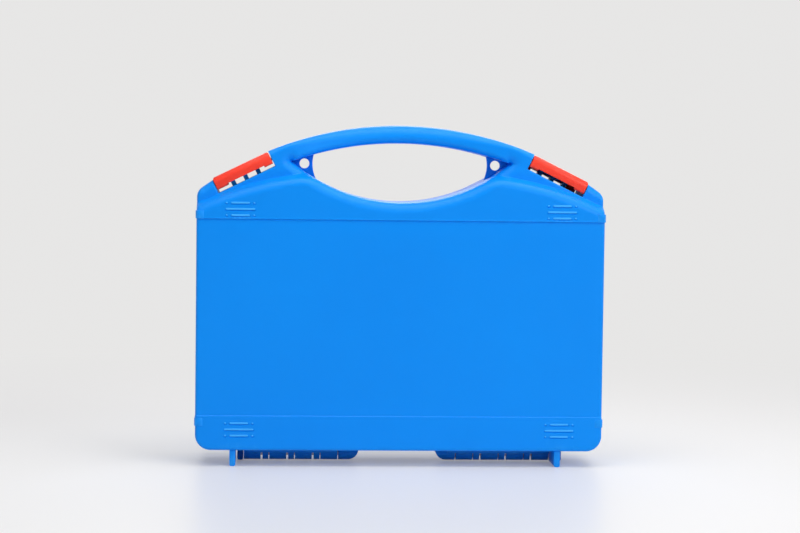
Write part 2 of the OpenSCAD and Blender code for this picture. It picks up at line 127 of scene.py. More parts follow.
def soften(obj: Piece, width: float, steps: int = 2, angle: float = 40.0) -> None:
    """Round the sharp edges of an object and shade it smoothly.

    Args:
        obj: The object to finish.
        width: Width of the rounding in millimetres.
        steps: Number of faces across the rounding.
        angle: Edges sharper than this many degrees are rounded.
    """
    pick(obj)
    rounding = obj.modifiers.new("rounding", "BEVEL")
    rounding.width = width * MM
    rounding.segments = steps
    rounding.limit_method = "ANGLE"
    rounding.angle_limit = math.radians(angle)
    bpy.ops.object.modifier_apply(modifier=rounding.name)
    bpy.ops.object.shade_smooth_by_angle(angle=math.radians(35))


def copy_of_node(node: str, name: str) -> Piece:
    """Copy a CAD node's mesh and merge its loose triangles into flat faces.

    Args:
        node: Name of the CAD node.
        name: Name of the copy.

    Returns:
        The copy, a closed mesh of flat faces.
    """
    obj = link(bpy.data.objects.new(name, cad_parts[node].data.copy()))
    edit_all(obj)
    bpy.ops.mesh.remove_doubles(threshold=0.002 * MM)
    bpy.ops.mesh.dissolve_limited(angle_limit=math.radians(0.6))
    bpy.ops.object.mode_set(mode="OBJECT")
    return obj


def join(objects: list, name: str) -> Piece:
    """Join objects into one.

    Args:
        objects: Objects to join; they become the first one.
        name: Name of the joined object.

    Returns:
        The joined object.
    """
    pick(objects[0])
    for obj in objects[1:]:
        obj.select_set(True)
    bpy.ops.object.join()
    whole = bpy.context.object
    whole.name = name
    return whole


# finishes

class Recipe:
    """Shorthand for building one node material."""

    def __init__(self, name: str) -> None:
        """Start an empty node material.

        Args:
            name: Name of the material.
        """
        self.material = bpy.data.materials.new(name)
        self.material.use_nodes = True
        self.tree = self.material.node_tree
        self.tree.nodes.clear()
        self.output = self.tree.nodes.new("ShaderNodeOutputMaterial")

    def node(self, kind: str, **inputs: object) -> bpy.types.Node:
        """Add a node and set or link its inputs by name.

        Args:
            kind: Node type without its ShaderNode prefix.
            **inputs: Values or sockets, with spaces in input names as underscores.

        Returns:
            The new node.
        """
        new = self.tree.nodes.new("ShaderNode" + kind)
        for key, value in inputs.items():
            socket = new.inputs[key.replace("_", " ")]
            if isinstance(value, Socket):
                self.tree.links.new(value, socket)
            else:
                socket.default_value = value
        return new

    def noise(self, scale: float, detail: float, rough: float = 0.5,
              vector: Socket | None = None) -> Socket:
        """Add a noise pattern on object coordinates.

        Args:
            scale: Cells per metre.
            detail: Octaves of detail.
            rough: Strength of the finer octaves.
            vector: Coordinates to use in place of the object's own.

        Returns:
            The pattern's value, 0 to 1.
        """
        where = vector or self.node("TexCoord").outputs["Object"]
        return self.node("TexNoise", Vector=where, Scale=scale, Detail=detail,
                         Roughness=rough).outputs[0]

    def spread(self, value: Socket, low: float, high: float,
               to_low: float = 0.0, to_high: float = 1.0) -> Socket:
        """Map a value from one range, low to high, to another, clamped."""
        return self.node("MapRange", Value=value, From_Min=low, From_Max=high,
                         To_Min=to_low, To_Max=to_high).outputs["Result"]

    def blend(self, factor: Socket, first: object, second: object) -> Socket:
        """Mix two colours.

        Args:
            factor: Share of the second colour.
            first: Colour or socket at factor 0.
            second: Colour or socket at factor 1.

        Returns:
            The mixed colour.
        """
        mix = self.tree.nodes.new("ShaderNodeMix")
        mix.data_type = "RGBA"
        self.tree.links.new(factor, mix.inputs[0])
        for slot, value in ((6, first), (7, second)):
            if isinstance(value, Socket):
                self.tree.links.new(value, mix.inputs[slot])
            else:
                mix.inputs[slot].default_value = (*value, 1.0)
        return mix.outputs[2]

    def combine(self, operation: str, first: Socket, second: Socket) -> Socket:
        """Combine two values in a Math node.

        Args:
            operation: The node's operation.
            first: First value.
            second: Second value.

        Returns:
            The result.
        """
        node = self.node("Math", Value=first)
        node.operation = operation
        self.tree.links.new(second, node.inputs[1])
        return node.outputs[0]

    def finish(self, shader: bpy.types.Node) -> Material:
        """Link the shader's first output to the surface and hand the material back."""
        self.tree.links.new(shader.outputs[0], self.output.inputs["Surface"])
        return self.material


@dataclass(frozen=True)
class MouldedPlastic:
    """Satin moulded plastic with fine grain, flow clouds, worn patches on edges and a painted
    highlight along sharp edges and rib tops.
    """

    name: str
    colour: tuple
    cloud: tuple
    # lighter tone, used both for worn patches and for the painted highlights
    wear_and_highlight: tuple
    roughness: float
    gloss: float
    grain: float = 0.10
    flow: float = 0.08
    seep: float = 0.0
    # strength of the painted highlight along every sharp convex edge
    ridge_highlight: float = 0.3
    cloud_cells: float = 9.0
    patch_cells: float = 140.0
    mottle_cells: float = 55.0
    grain_cells: float = 2600.0
    flow_cells: float = 22.0

    def material(self) -> Material:
        """Build the node material.

        Returns:
            The material.
        """
        mix = Recipe(self.name)
        clouds = mix.spread(mix.noise(self.cloud_cells, 3.0), 0.35, 0.7)
        colour = mix.blend(clouds, self.colour, self.cloud)
        edges = mix.node("NewGeometry").outputs["Pointiness"]
        # worn patches along convex edges
        patches = mix.spread(mix.noise(self.patch_cells, 4.0, 0.6), 0.45, 0.7, 0.0, 0.5)
        wear_and_highlight_mask = mix.combine("MULTIPLY", mix.spread(edges, 0.515, 0.56), patches)
        # painted highlight: sharp convex edges lighter all along, standing in for the light they
        # catch
        wear_and_highlight_mask = mix.combine("MAXIMUM", wear_and_highlight_mask, mix.spread(edges, 0.525, 0.60, 0.0, self.ridge_highlight))
        # painted highlight on the rib tops, read from a mesh attribute
        crown_highlight = mix.node("Attribute")
        crown_highlight.attribute_name = RIB_HIGHLIGHT_ATTRIBUTE
        wear_and_highlight_mask = mix.combine("MAXIMUM", wear_and_highlight_mask, crown_highlight.outputs["Fac"])
        # blend in the lighter tone: real wear in patches, painted highlight on sharp edges and rib
        # tops
        colour = mix.blend(wear_and_highlight_mask, colour, self.wear_and_highlight)
        rough = mix.spread(mix.noise(self.mottle_cells, 4.0, 0.6), 0.3, 0.7,
                           self.roughness - 0.05, self.roughness + 0.06)
        grain = mix.node("Bump", Height=mix.noise(self.grain_cells, 2.0), Strength=self.grain,
                         Distance=0.05 * MM)
        flow = mix.node("Bump", Height=mix.noise(self.flow_cells, 1.0), Strength=self.flow,
                        Distance=0.4 * MM, Normal=grain.outputs[0])
        shader = mix.node("BsdfPrincipled", Base_Color=colour, Roughness=rough,
                          Normal=flow.outputs[0], Specular_IOR_Level=self.gloss,
                          Subsurface_Weight=self.seep, Subsurface_Scale=2.0 * MM)
        return mix.finish(shader)


@dataclass(frozen=True)
class DrawnWire:
    """Drawn steel wire with fine lines along the pin and dull spots."""

    name: str
    colour: tuple
    dull: tuple
    stretch: float = 60.0
    line_cells: float = 60.0
    spot_cells: float = 300.0

    def material(self) -> Material:
        """Build the node material.

        Returns:
            The material.
        """
        mix = Recipe(self.name)
        where = mix.node("Mapping", Vector=mix.node("TexCoord").outputs["Object"])
        where.inputs["Scale"].default_value = (1.0, self.stretch, self.stretch)
        lines = mix.noise(self.line_cells, 4.0, 0.7, where.outputs[0])
        spots = mix.spread(mix.noise(self.spot_cells, 3.0), 0.4, 0.75)
        colour = mix.blend(spots, self.colour, self.dull)
        bump = mix.node("Bump", Height=lines, Strength=0.2, Distance=0.03 * MM)
        shader = mix.node("BsdfPrincipled", Base_Color=colour,
                          Roughness=mix.spread(lines, 0.2, 0.8, 0.25, 0.45),
                          Normal=bump.outputs[0], Metallic=1.0)
        return mix.finish(shader)


def seen_rays(tree: bpy.types.NodeTree) -> Socket:
    """Tell rays that are seen, straight, mirrored or through glass, from those that only light.

    Args:
        tree: Node tree of a material or of the world.

    Returns:
        1 for a ray that is seen, 0 for one that lights.
    """
    path = tree.nodes.new("ShaderNodeLightPath")
    seen = path.outputs["Is Camera Ray"]
    for kind in ("Is Glossy Ray", "Is Transmission Ray"):
        both = tree.nodes.new("ShaderNodeMath")
        both.operation = "MAXIMUM"
        tree.links.new(seen, both.inputs[0])
        tree.links.new(path.outputs[kind], both.inputs[1])
        seen = both.outputs[0]
    return seen


@dataclass(frozen=True)
class StudioFloor:
    """Pale satin floor that fades into the pale air around it."""

    name: str
    colour: tuple
    near: tuple
    far: tuple
    centre: tuple = (0.0, -0.15, 0.0)
    fade: tuple = (0.32, 1.1)
    lift: float = 0.22

    def material(self) -> Material:
        """Build the node material.

        Returns:
            The material.
        """
        mix = Recipe(self.name)
        away = mix.node("VectorMath", Vector=mix.node("TexCoord").outputs["Object"])
        away.operation = "DISTANCE"
        away.inputs[1].default_value = self.centre
        share = mix.spread(away.outputs["Value"], *self.fade)
        paint = mix.node("BsdfPrincipled", Base_Color=(*self.colour, 1.0),
                         Roughness=mix.spread(share, 0.0, 1.0, 0.34, 0.9), Specular_IOR_Level=0.12)
        glow = mix.node("Emission", Color=mix.blend(share, self.near, self.far))
        lift = mix.combine("MULTIPLY", seen_rays(mix.tree),
                           mix.spread(share, 0.0, 1.0, self.lift, 1.0))
        shader = mix.node("MixShader", Fac=lift)
        for slot, part in ((1, paint), (2, glow)):
            mix.tree.links.new(part.outputs[0], shader.inputs[slot])
        return mix.finish(shader)


# third colour: lighter tone for worn patches and for the painted highlights on sharp edges and rib
# tops
BLUE = MouldedPlastic("blue_polypropylene", (0.0, 0.255, 0.880), (0.0, 0.267, 0.900),
                      (0.050, 0.420, 0.960), roughness=0.38, gloss=0.16)
RED = MouldedPlastic("red_latch_plastic", (0.930, 0.052, 0.028), (0.945, 0.060, 0.033),
                     (0.970, 0.130, 0.080), roughness=0.34, gloss=0.2, seep=0.3)
STEEL = DrawnWire("drawn_pin_steel", (0.55, 0.56, 0.58), (0.40, 0.41, 0.42))


def dress(obj: Piece, finish: Material) -> None:
    """Give an object, new or from the CAD, one material all over."""
    obj.data.materials.clear()
    obj.data.materials.append(finish)


def place(obj: Piece, body: str, nodes: list) -> None:
    """Let a finished piece ride on its body and stand for its nodes.

    Args:
        obj: The finished piece.
        body: Name of the CAD body.
        nodes: CAD nodes that it replaces.
    """
    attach(obj, body)
    if nodes:
        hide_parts(*nodes)
    LOG.info("%s: %d faces on %s for %s", obj.name, len(obj.data.polygons), body, nodes)


# the moulded halves

@dataclass
class Outline:
    """The outline of a half in the X-Z plane, in millimetres."""

    half_w: float = HALF_WIDTH
    floor_z: float = 13.1
    bottom_r: float = 12.5
    top_r: float = 9.0
    roof_top: float = 275.8
    roof_r: float = 276.0
    grip_thick: float = 14.5
    opening_low: float = 213.5
    opening_r: float = 138.0
    notch_inset: float = 17.2
    notch_drop: float = 11.4
    notch_len: float = 50.5
    notch_tilt: float = 2.1
    wall_edge_r: float = 2.2
    roof_edge_r: float = 6.0
    notch_edge_r: float = 0.7
    rim_r: float = 9.0
    rim_tip_r: float = 8.5
    grip_top_r: float = 9.4
    grip_under_r: float = 4.9
    grip_root_r: float = 3.5
    rim_ease_x: float = 58.0
    root_span: float = 0.25
    step: float = 1.3

    def __post_init__(self) -> None:
        """Work out centres, tips and notch corners."""
        self.roof_cz = self.roof_top - self.roof_r
        self.grip_r = self.roof_r - self.grip_thick
        self.opening_cz = self.opening_low + self.opening_r
        rise = self.opening_cz - self.roof_cz
        self.tip_z = self.opening_cz - (rise**2 + self.opening_r**2 - self.grip_r**2) / (2 * rise)
        self.tip_x = math.sqrt(self.opening_r**2 - (self.opening_cz - self.tip_z) ** 2)
        self.tip_angle = math.atan2(self.tip_x, self.tip_z - self.roof_cz)
        self.notch_x = self.half_w - self.notch_inset
        notch_r = self.roof_r - self.notch_drop
        self.notch_z = self.roof_cz + math.sqrt(notch_r**2 - self.notch_x**2)
        self.notch_slope = (math.asin(self.notch_x / notch_r)
                            - math.asin(self.notch_len / 2 / notch_r)
                            - math.radians(self.notch_tilt))
        self.top_cx = self.half_w - self.top_r
        self.top_cz = self.roof_cz + math.sqrt((self.roof_r - self.top_r) ** 2 - self.top_cx**2)
        self.top_angle = math.atan2(self.top_cx, self.top_cz - self.roof_cz)

    def notch_point(self, u: float, v: float, side: int) -> Array:
        """The x and z of a point u up and v above the floor of the notch on side -1 or 1."""
        c, s = math.cos(self.notch_slope), math.sin(self.notch_slope)
        return np.array([side * (self.notch_x - u * c + v * s), self.notch_z + u * s + v * c])

    def notch_frame(self, p: Array) -> tuple:
        """Place points in the nearer notch's own frame.

        Args:
            p: Rows of x and z.

        Returns:
            Their distances up and above the notch floor.
        """
        c, s = math.cos(self.notch_slope), math.sin(self.notch_slope)
        dx, dz = self.notch_x - np.abs(p[:, 0]), p[:, 1] - self.notch_z
        return dx * c + dz * s, -dx * s + dz * c

    def roof_cut(self, u: float) -> float:
        """Height above the notch floor at which a notch's end wall meets the roof.

        Args:
            u: Distance up the notch floor.

        Returns:
            The height in millimetres, found by halving a range that holds it.
        """
        low, high = 0.0, 40.0
        for _ in range(40):
            mid = (low + high) / 2
            x, z = self.notch_point(u, mid, 1)
            below = math.hypot(x, z - self.roof_cz) < self.roof_r
            low, high = (mid, high) if below else (low, mid)
        return low

    def span(self, p: Array) -> Array:
        """Share of the grip's half angle at each point, 1 at the opening's tips."""
        return np.abs(np.arctan2(p[:, 0], p[:, 1] - self.roof_cz)) / self.tip_angle

    def line(self, a: Array, b: Array) -> list:
        """Points from a up to but without b."""
        n = max(1, round(float(np.linalg.norm(b - a)) / self.step))
        return [a + (b - a) * i / n for i in range(n)]

    def arc(self, centre: tuple, radius: float, start: float, end: float) -> list:
        """Points on an arc, without its end point.

        Args:
            centre: The x and z of its centre.
            radius: Its radius.
            start: Angle of its start, from +Z towards +X.
            end: Angle of its end.

        Returns:
            The points in order.
        """
        n = max(4, round(abs(end - start) * radius / self.step))
        angles = [start + (end - start) * i / n for i in range(n)]
        return [np.array([centre[0] + radius * math.sin(a), centre[1] + radius * math.cos(a)])
                for a in angles]

    def outer_loop(self) -> Array:
        """Lay points along the outer edge, counter-clockwise from the floor's left end.

        Returns:
            Rows of x and z.
        """
        hw, fz, rb, middle = self.half_w, self.floor_z, self.bottom_r, (0, self.roof_cz)
        top_out = self.notch_point(0, self.roof_cut(0), 1)
        top_in = self.notch_point(self.notch_len, self.roof_cut(self.notch_len), 1)
        a_out, a_in = (math.atan2(*(corner - middle)) for corner in (top_out, top_in))
        right = self.arc((hw - rb, fz + rb), rb, math.pi, math.pi / 2)
        right += self.line(np.array([hw, fz + rb]), np.array([hw, self.top_cz]))
        right += self.arc((self.top_cx, self.top_cz), self.top_r, math.pi / 2, self.top_angle)
        right += self.arc(middle, self.roof_r, self.top_angle, a_out)
        floor_out, floor_in = (self.notch_point(u, 0, 1) for u in (0, self.notch_len))
        for a, b in ((top_out, floor_out), (floor_out, floor_in), (floor_in, top_in)):
            right += self.line(a, b)
        right += self.arc(middle, self.roof_r, a_in, 0.0)
        left = [np.array([-p[0], p[1]]) for p in right[:0:-1]]
        floor = self.line(np.array([-(hw - rb), fz]), np.array([hw - rb, fz]))
        top = [np.array([0.0, self.roof_top])]
        return np.array(floor + right + top + left)

    def opening_loop(self) -> Array:
        """Lay points along the hand opening's edge, clockwise, with the material on the left.

        Returns:
            Rows of x and z.
        """
        low = math.atan2(self.tip_x, self.tip_z - self.opening_cz)
        lower = self.arc((0, self.opening_cz), self.opening_r, 2 * math.pi - low, low)
        upper = self.arc((0, self.roof_cz), self.grip_r, self.tip_angle, -self.tip_angle)
        return np.array((lower + upper)[::-1])

    def edge_distances(self, p: Array) -> dict:
        """Distance of points from each kind of edge, positive inside the material.

        Args:
            p: Rows of x and z.

        Returns:
            Distance and rounding radius arrays by the edge's name.
        """
        x, z = np.abs(p[:, 0]), p[:, 1]
        wall = np.minimum(self.half_w - x, z - self.floor_z)
        cx, cz = self.half_w - self.bottom_r, self.floor_z + self.bottom_r
        corner = (x > cx) & (z < cz)
        wall = np.where(corner, self.bottom_r - np.hypot(x - cx, z - cz), wall)
        wall_r = np.full_like(x, self.wall_edge_r)
        share = self.span(p)
        from_roof = np.hypot(x, z - self.roof_cz)
        roof = self.roof_r - from_roof
        root = np.clip((share - 1) / self.root_span, 0, 1)
        grip = self.grip_top_r * (1 - share**2) + self.grip_root_r * share**2
        shoulder = self.grip_root_r + (self.roof_edge_r - self.grip_root_r) * root
        roof_r = np.where(share < 1, grip, shoulder)
        turn = np.arctan2(x - self.top_cx, z - self.top_cz)
        wedge = (turn > self.top_angle) & (turn < math.pi / 2) & (x > self.top_cx)
        top = self.top_r - np.hypot(x - self.top_cx, z - self.top_cz)
        mix = np.clip((turn - self.top_angle) / (math.pi / 2 - self.top_angle), 0, 1)
        top_r = self.roof_edge_r + (self.wall_edge_r - self.roof_edge_r) * mix
        wall, wall_r = np.where(wedge, top, wall), np.where(wedge, top_r, wall_r)
        roof, roof_r = np.where(wedge, top, roof), np.where(wedge, top_r, roof_r)
        u, v = self.notch_frame(p)
        notch = np.hypot(np.maximum(np.maximum(-u, u - self.notch_len), 0), np.maximum(-v, 0))
        tip = np.hypot(x - self.tip_x, z - self.tip_z)
        around = np.arctan2(x, self.opening_cz - z)
        low_end = math.atan2(self.tip_x, self.opening_cz - self.tip_z)
        rim = np.where(around < low_end, np.hypot(x, z - self.opening_cz) - self.opening_r, tip)
        rim = np.where((share < 1) & (from_roof > self.grip_r), tip, rim)
        ease = np.clip((x - self.rim_ease_x) / (self.tip_x - self.rim_ease_x), 0, 1)
        ease = ease * ease * (3 - 2 * ease)
        rim_r = self.rim_r + (self.rim_tip_r - self.rim_r) * ease
        under = np.where(share < 1, from_roof - self.grip_r, tip)
        opening_low = self.opening_cz - np.sqrt(np.maximum(self.opening_r**2 - x**2, 0))
        under = np.where((share < 1) & (z < opening_low + 0.001), tip, under)
        grip = self.grip_under_r * (1 - share**2) + self.grip_root_r * share**2
        under_r = np.where(share < 1, grip, self.grip_root_r)
        return {"wall": (wall, wall_r), "roof": (roof, roof_r),
                "notch": (notch, np.full_like(x, self.notch_edge_r)),
                "rim": (rim, rim_r), "under": (under, under_r)}

    def clearance(self, p: Array) -> Array:
        """Distance of points to the nearest edge.

        Args:
            p: Rows of x and z.

        Returns:
            The distances, negative outside the material.
        """
        near = np.min([d for d, _ in self.edge_distances(p).values()], axis=0)
        u, v = self.notch_frame(p)
        in_notch = (u > 0) & (u < self.notch_len) & (v > 0)
        in_lens = ((np.hypot(p[:, 0], p[:, 1] - self.roof_cz) < self.grip_r)
                   & (np.hypot(p[:, 0], p[:, 1] - self.opening_cz) < self.opening_r))
        return np.where(in_notch | in_lens, -1.0, near)


@dataclass
class TrimRibs:
    """Four groups of moulded ribs: one long, two short between round dots."""

    x: float = 129.5
    rows: tuple = (207.3, 30.1)
    pitch: float = 5.0
    long_len: float = 23.6
    short_len: float = 15.0
    width: float = 1.6
    proud: float = 0.33
    moat_w: float = 0.8
    moat: float = 0.6
    foot: float = 0.25
    step: float = 0.8

    @property
    def r(self) -> float:
        """Half a rib's width."""
        return self.width / 2

    def bars(self) -> list:
        """List every rib and dot.

        Returns:
            The x and z of its middle and half its straight length, for each.
        """
        long, short = self.long_len / 2 - self.r, self.short_len / 2 - self.r
        found = []
        for x in (-self.x, self.x):
            for z in self.rows:
                found.append((x, z, long))
                for row in (z - self.pitch, z + self.pitch):
                    found += [(x, row, short), (x - long, row, 0.0), (x + long, row, 0.0)]
        return found

    @staticmethod
    def distance(p: Array, bar: tuple) -> Array:
        """Distance of points from a rib's middle line."""
        return np.hypot(np.clip(np.abs(p[:, 0] - bar[0]) - bar[2], 0, None), p[:, 1] - bar[1])

    def relief(self, p: Array) -> Array:
        """Height of the ribs above the face, below it in the moat under each.

        Args:
            p: Rows of x and z.

        Returns:
            Height at each point.
        """
        height = np.zeros(len(p))
        for bar in self.bars():
            d = self.distance(p, bar)
            height += self.proud * np.sqrt(np.clip(1 - (d / self.r) ** 2, 0, 1))
            below = np.clip((bar[1] - p[:, 1]) / self.r, 0, 1)
            across = np.clip((d - self.r) / self.moat_w, 0, 1)
            height -= self.moat * np.sin(math.pi * across) * below
        return height

    def crown_highlight(self, p: Array) -> Array:
        """Painted highlight at each point: 1 on a rib's crown, falling to 0 at its foot."""
        near = np.min([self.distance(p, bar) for bar in self.bars()], axis=0)
        return np.clip((1 - near / self.r) / self.foot, 0, 1)

    def rings(self) -> list:
        """Rows of points round and along each rib, with their least gap.

        Returns:
            Pairs of points and gap.
        """
        r, rows = self.r, []
        turn = np.linspace(-math.pi / 2, math.pi / 2, 9)
        for x, z, half in self.bars():
            along = np.arange(-half, half + 0.01, self.step)
            rows.append((np.stack([x + along, np.full_like(along, z)], 1), 0.08))
            for d in (0.4 * r, 0.7 * r, 0.88 * r, r, r + self.moat_w / 2, r + self.moat_w):
                right = np.stack([x + half + d * np.cos(turn), z + d * np.sin(turn)], 1)
                left = np.stack([x - half - d * np.cos(turn), z - d * np.sin(turn)], 1)
                top = np.stack([x + along, np.full_like(along, z + d)], 1)
                low = np.stack([x + along, np.full_like(along, z - d)], 1)
                rows.append((np.concatenate([right, left, top, low]), 0.07))
        return rows


@dataclass
class HalfMoulding:
    """One half of the case in one moulding: tray, shoulders and half of the split grip."""

    outline: Outline
    ribs: TrimRibs
    depth: float = HALF_DEPTH
    shoulder: float = 27.5
    grip_depth: float = 15.0
    wall: float = 2.5
    panel_low: float = 40.8
    panel_high: float = PANEL_TOP
    recess: float = 0.6
    ramp: float = 0.3
    low_ramp: float = 0.6
    lip: float = 0.33
    lip_w: float = 1.1
    quirk: float = 0.5
    quirk_w: float = 2.6
    shelf_x: float = 47.0
    shelf_z: float = -37.4
    shelf_r: float = 273.0
    shelf_rise: float = 4.4
    shelf_brow_r: float = 8.0
    shelf_foot_r: float = 0.8
    shelf_span: tuple = (-8.1, 3.9)
    shelf_step: float = 1.6
    grip_join: float = 0.8
    grip_fade: float = 4.0
    least_r: float = 0.4
    tongue: tuple = (0.85, 1.65, 1.2)
    groove: tuple = (0.55, 1.95, -1.5)

    def shelf_profile(self, s: Array) -> Array:
        """Depth across the sloping shelf, with its brow and its foot rounded.

        Args:
            s: Distances above the middle of the shelf.

        Returns:
            Depth from the seam.
        """
        fall, half = self.depth - self.shoulder, self.shelf_rise / 2
        angle = math.atan2(fall, self.shelf_rise)
        d = self.depth - (s + half) * fall / self.shelf_rise
        brow = self.shelf_brow_r * math.tan(angle / 2)
        foot = self.shelf_foot_r * math.tan(angle / 2)
        a = np.clip(s + half + brow, 0, None)
        on_brow = np.sqrt(np.clip(self.shelf_brow_r**2 - a**2, 0, None))
        on_brow += self.depth - self.shelf_brow_r
        brow_end = -half - brow + self.shelf_brow_r * math.sin(angle)
        b = np.clip(half + foot - s, 0, None)
        on_foot = -np.sqrt(np.clip(self.shelf_foot_r**2 - b**2, 0, None))
        on_foot += self.shoulder + self.shelf_foot_r
        foot_start = half + foot - self.shelf_foot_r * math.sin(angle)
        d = np.where(s < brow_end, on_brow, d)
        d = np.where(s > foot_start, on_foot, d)
        d = np.where(s < -half - brow, self.depth, d)
        return np.where(s > half + foot, self.shoulder, d)

    def above_shelf(self, p: Array) -> Array:
        """Distance of points above the curved middle line of the shelf."""
        x, z = np.abs(p[:, 0]) - self.shelf_x, p[:, 1] - self.shelf_z
        return np.where(x > 0, np.hypot(x, z), z) - self.shelf_r

    def face_depth(self, p: Array, inset: float = 0.0) -> Array:
        """Depth of the moulding's outer or inner face.

        Args:
            p: Rows of x and z.
            inset: Distance of the wanted face inside the outer one.

        Returns:
            Depth from the seam.
        """
        line = self.outline
        base = self.shelf_profile(self.above_shelf(p))
        if inset == 0.0:
            z = p[:, 1]
            inside = (z > self.panel_low) & (z < self.panel_high)
            from_top = self.panel_high - z
            ramp = np.minimum((z - self.panel_low) / self.low_ramp, from_top / self.ramp)
            lip = np.clip(1 + from_top / self.lip_w, 0, 1) * (z >= self.panel_high)
            base = base + self.lip * lip * (base > self.depth - 0.01) + self.ribs.relief(p)
            quirk = self.quirk * np.clip(1 - from_top / self.quirk_w, 0, 1)
            base = base - np.where(inside, (self.recess + quirk) * np.clip(ramp, 0, 1), 0.0)
        share, end = line.span(p), 1 + line.root_span
        bend = (1 - self.grip_join**2) / (end - self.grip_join) ** 2
        grow = 1 - bend * (end - np.minimum(share, end)) ** 2
        grow = np.where(share < self.grip_join, share**2, grow)
        grip = self.grip_depth + (self.shoulder - self.grip_depth) * grow
        over = np.hypot(p[:, 0], p[:, 1] - line.roof_cz) - line.grip_r
        width = self.grip_fade * np.clip((share - 1) / line.root_span, 0, 1) + 0.01
        weight = np.clip(1 + over / width, 0, 1)
        weight = np.where(share < 1, (over > -0.001).astype(float), weight)
        weight = np.where(share > end, 0.0, weight)
        base = base + (grip - base) * weight
        drop = np.zeros_like(base)
        for distance, radius in line.edge_distances(p).values():
            r = np.maximum(radius - inset, self.least_r)
            d = np.clip(distance - inset, 0, None)
            here = np.where(d < r, r - np.sqrt(np.clip(r**2 - (r - d) ** 2, 0, None)), 0.0)
            drop = np.maximum(drop, here)
        return base - inset - drop

    @staticmethod
    def inward(loop: Array) -> Array:
        """Directions from a loop's points into the material, longer at corners.

        Args:
            loop: Points in order, with the material on the left.

        Returns:
            One direction for each point.
        """
        ahead, behind = unit(np.roll(loop, -1, 0) - loop), unit(loop - np.roll(loop, 1, 0))
        n1 = np.stack([-ahead[:, 1], ahead[:, 0]], 1)
        n2 = np.stack([-behind[:, 1], behind[:, 0]], 1)
        n = unit(n1 + n2)
        return n * np.minimum(1 / np.clip((n * n1).sum(1), 0.1, 1), 1.42)[:, None]

    def edge_rows(self, loops: list, inset: float) -> list:
        """Rows of points across the rounding of every edge.

        Args:
            loops: Edge loops of this face.
            inset: Distance of this face inside the outer one.

        Returns:
            Pairs of points and their least gap.
        """
        rows = []
        for loop in loops:
            n = unit(self.inward(loop))
            edges = self.outline.edge_distances(loop + n * 0.01)
            radius = np.select([np.abs(d - inset) < 0.2 for d, _ in edges.values()],
                               [r for _, r in edges.values()], 1.0)
            radius = np.maximum(radius - inset, self.least_r)
            for angle in (20, 35, 50, 65, 80, 90):
                across = radius * (1 - math.cos(math.radians(angle)))
                rows.append((loop + n * across[:, None], 0.45))
            rows.append((loop + n * (radius + 1.0)[:, None], 0.8))
        return rows

    def shelf_rows(self) -> list:
        """Rows of points along the shelf, from its brow to its foot.

        Returns:
            Pairs of points and their least gap.
        """
        rows = []
        flat = np.arange(0, self.shelf_x, self.shelf_step)
        for s in np.arange(*self.shelf_span, 0.45):
            r = self.shelf_r + s
            a = np.arange(0.0, 0.5, self.shelf_step / r)
            xs = np.concatenate([flat, self.shelf_x + r * np.sin(a)])
            zs = self.shelf_z + np.concatenate([np.full_like(flat, r), r * np.cos(a)])
            rows += [(np.stack([side * xs, zs], 1), 0.35) for side in (1, -1)]
        return rows

    def panel_rows(self) -> list:
        """Rows of points along the panel's lower edge and its lip.

        Returns:
            Pairs of points and their least gap.
        """
        xs = np.arange(-self.outline.half_w, self.outline.half_w, 1.0)
        return [(np.stack([xs, np.full_like(xs, z + sign * dz)], 1), 0.25)
                for z, sign in ((self.panel_low, 1), (self.panel_high, -1))
                for dz in (-2.2, -1.1, -0.5, 0.0, 0.3, 0.6, 1.1, 2.6)]

    def grids(self) -> list:
        """Grids of points for the plain faces, finer above the panel.

        Returns:
            Pairs of points and their least gap.
        """
        line, rows = self.outline, []
        for gap, low, high in ((2.6, self.panel_high + 1, line.roof_top),
                               (7.0, line.floor_z, self.panel_high)):
            gx, gz = np.meshgrid(np.arange(-line.half_w, line.half_w, gap),
                                 np.arange(low, high, gap))
            gx[::2] += gap / 2
            rows.append((np.stack([gx.ravel(), gz.ravel()], 1), gap * 0.55))
        return rows

    def sample_points(self, loops: list, inset: float) -> Array:
        """Scatter points inside the outline, not closer together than needed.

        Args:
            loops: Edge loops of this face.
            inset: Distance of this face inside the outer one.

        Returns:
            Rows of x and z.
        """
        outside = inset == 0.0
        rows = (self.ribs.rings() if outside else []) + self.edge_rows(loops, inset)
        rows += self.shelf_rows() + (self.panel_rows() if outside else []) + self.grids()
        kept: dict = {}
        out = []
        for points, gap in rows:
            reach = range(-math.ceil(gap), math.ceil(gap) + 1)
            for x, z in points[self.outline.clearance(points) > inset + 0.12]:
                i, j = int(x // 1), int(z // 1)
                near = (q for di in reach for dj in reach for q in kept.get((i + di, j + dj), ()))
                if all((q[0] - x) ** 2 + (q[1] - z) ** 2 > gap * gap for q in near):
                    kept.setdefault((i, j), []).append((x, z))
                    out.append((x, z))
        return np.array(out)

    def face_mesh(self, loops: list, inset: float) -> tuple:
        """Triangulate one face between its edge loops and set its depth.

        Args:
            loops: Edge loops of this face.
            inset: Distance of this face inside the outer one.

        Returns:
            Points, triangles wound to face the front, and each loop point's own number.
        """
        count = sum(len(loop) for loop in loops)
        flat = np.concatenate(loops + [self.sample_points(loops, inset)])
        edges, start = [], 0
        for loop in loops:
            edges += [(start + i, start + (i + 1) % len(loop)) for i in range(len(loop))]
            start += len(loop)
        done = delaunay_2d_cdt([Vector(p) for p in flat], edges, [], 0, 1e-6)
        points, tri = np.array([tuple(p) for p in done[0]]), np.array(done[2])
        order = {old[0]: new for new, old in enumerate(done[3]) if old}
        tri = tri[self.inside(points[tri].mean(axis=1), loops)]
        solid = np.stack([points[:, 0], -self.face_depth(points, inset), points[:, 1]], 1)
        return solid, tri.tolist(), [order[i] for i in range(count)]

